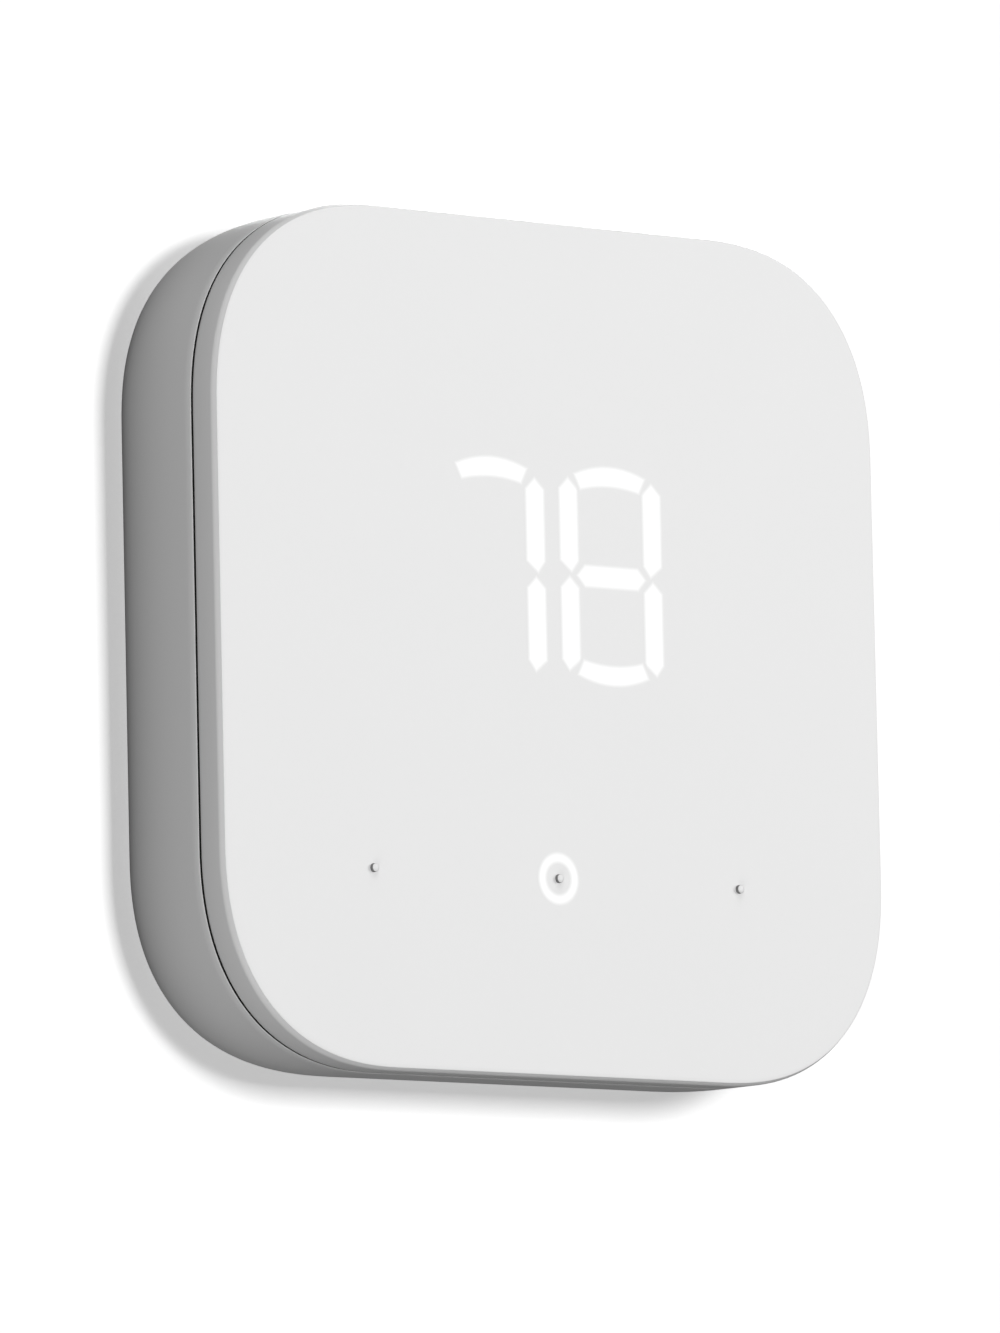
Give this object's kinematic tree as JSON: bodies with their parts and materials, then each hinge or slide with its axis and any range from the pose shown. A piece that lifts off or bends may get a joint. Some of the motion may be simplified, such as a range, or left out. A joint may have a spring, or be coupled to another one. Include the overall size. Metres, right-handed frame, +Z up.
{
  "type": "wall thermostat",
  "caption": "Square wall thermostat with soft corners: a white display unit with lit digits and touch keys, which pulls straight off a wall plate with wire terminals.",
  "frame": {"origin": "middle of the wall plate's back, on the wall's surface", "axes": "+X to the right seen from the front, +Y into the wall, +Z up"},
  "size_m": [0.0904, 0.0465, 0.0904],
  "materials": {
    "shell_white": "fine satin moulded plastic",
    "plate_grey": "matt moulded plastic",
    "terminal_black": "matt moulded plastic",
    "lever_grey": "satin moulded plastic",
    "black_plastic": "matt moulded plastic",
    "relay_blue": "semi-gloss moulded plastic",
    "circuit_board": "solder-masked board",
    "light_box_white": "matt white reflector",
    "segment_light": "lit white behind a thinned white skin",
    "clear_guide": "polished clear plastic",
    "spring_steel": "bright wire",
    "tinned_can": "tinned sheet",
    "contact_bronze": "bright spring bronze",
    "screw_steel": "zinc-plated",
    "anchor_nylon": "matt nylon"
  },
  "bodies": {
    "wall_side": {"terminal_block_left": "terminal_black", "terminal_block_right": "terminal_black", "terminal_contact_left_1": "contact_bronze", "terminal_contact_left_2": "contact_bronze", "terminal_contact_left_3": "contact_bronze", "terminal_contact_left_4": "contact_bronze", "terminal_contact_right_1": "contact_bronze", "terminal_contact_right_2": "contact_bronze", "terminal_contact_right_3": "contact_bronze", "terminal_contact_right_4": "contact_bronze", "wall_anchor_bottom": "anchor_nylon", "wall_anchor_top": "anchor_nylon", "wall_plate": "plate_grey", "wall_screw_bottom": "screw_steel", "wall_screw_top": "screw_steel"},
    "display_unit": {"backup_capacitor": "black_plastic", "board_connector": "black_plastic", "board_screw_left": "screw_steel", "board_screw_right": "screw_steel", "case_screw_1": "screw_steel", "case_screw_2": "screw_steel", "case_screw_3": "screw_steel", "case_screw_4": "screw_steel", "climate_sensor": "black_plastic", "controller_chip": "black_plastic", "display_board": "circuit_board", "front_cover": "shell_white", "header_pin_left_1": "contact_bronze", "header_pin_left_2": "contact_bronze", "header_pin_left_3": "contact_bronze", "header_pin_left_4": "contact_bronze", "header_pin_right_1": "contact_bronze", "header_pin_right_2": "contact_bronze", "header_pin_right_3": "contact_bronze", "header_pin_right_4": "contact_bronze", "mode_light_guide": "clear_guide", "pin_header_left": "black_plastic", "pin_header_right": "black_plastic", "radio_module": "tinned_can", "rear_case": "shell_white", "relay_1": "relay_blue", "relay_2": "relay_blue", "relay_3": "relay_blue", "relay_4": "relay_blue", "relay_board": "circuit_board", "segment_diffuser": "segment_light", "segment_light_box": "light_box_white", "touch_spring_down": "spring_steel", "touch_spring_mode": "spring_steel", "touch_spring_up": "spring_steel"},
    "lever_left_1": {"terminal_lever_left_1": "lever_grey"},
    "lever_left_2": {"terminal_lever_left_2": "lever_grey"},
    "lever_left_3": {"terminal_lever_left_3": "lever_grey"},
    "lever_left_4": {"terminal_lever_left_4": "lever_grey"},
    "lever_right_1": {"terminal_lever_right_1": "lever_grey"},
    "lever_right_2": {"terminal_lever_right_2": "lever_grey"},
    "lever_right_3": {"terminal_lever_right_3": "lever_grey"},
    "lever_right_4": {"terminal_lever_right_4": "lever_grey"}
  },
  "joints": [
    {"name": "unit_pull_off", "type": "slide", "parent": "wall_side", "child": "display_unit", "axis": [0, -1, 0], "range_m": [0, 0.04]},
    {"name": "lever_left_1_press", "type": "slide", "parent": "wall_side", "child": "lever_left_1", "axis": [0, 1, 0], "range_m": [0, 0.0014], "stiffness_N_per_m": 300},
    {"name": "lever_left_2_press", "type": "slide", "parent": "wall_side", "child": "lever_left_2", "axis": [0, 1, 0], "range_m": [0, 0.0014], "stiffness_N_per_m": 300},
    {"name": "lever_left_3_press", "type": "slide", "parent": "wall_side", "child": "lever_left_3", "axis": [0, 1, 0], "range_m": [0, 0.0014], "stiffness_N_per_m": 300},
    {"name": "lever_left_4_press", "type": "slide", "parent": "wall_side", "child": "lever_left_4", "axis": [0, 1, 0], "range_m": [0, 0.0014], "stiffness_N_per_m": 300},
    {"name": "lever_right_1_press", "type": "slide", "parent": "wall_side", "child": "lever_right_1", "axis": [0, 1, 0], "range_m": [0, 0.0014], "stiffness_N_per_m": 300},
    {"name": "lever_right_2_press", "type": "slide", "parent": "wall_side", "child": "lever_right_2", "axis": [0, 1, 0], "range_m": [0, 0.0014], "stiffness_N_per_m": 300},
    {"name": "lever_right_3_press", "type": "slide", "parent": "wall_side", "child": "lever_right_3", "axis": [0, 1, 0], "range_m": [0, 0.0014], "stiffness_N_per_m": 300},
    {"name": "lever_right_4_press", "type": "slide", "parent": "wall_side", "child": "lever_right_4", "axis": [0, 1, 0], "range_m": [0, 0.0014], "stiffness_N_per_m": 300}
  ]
}
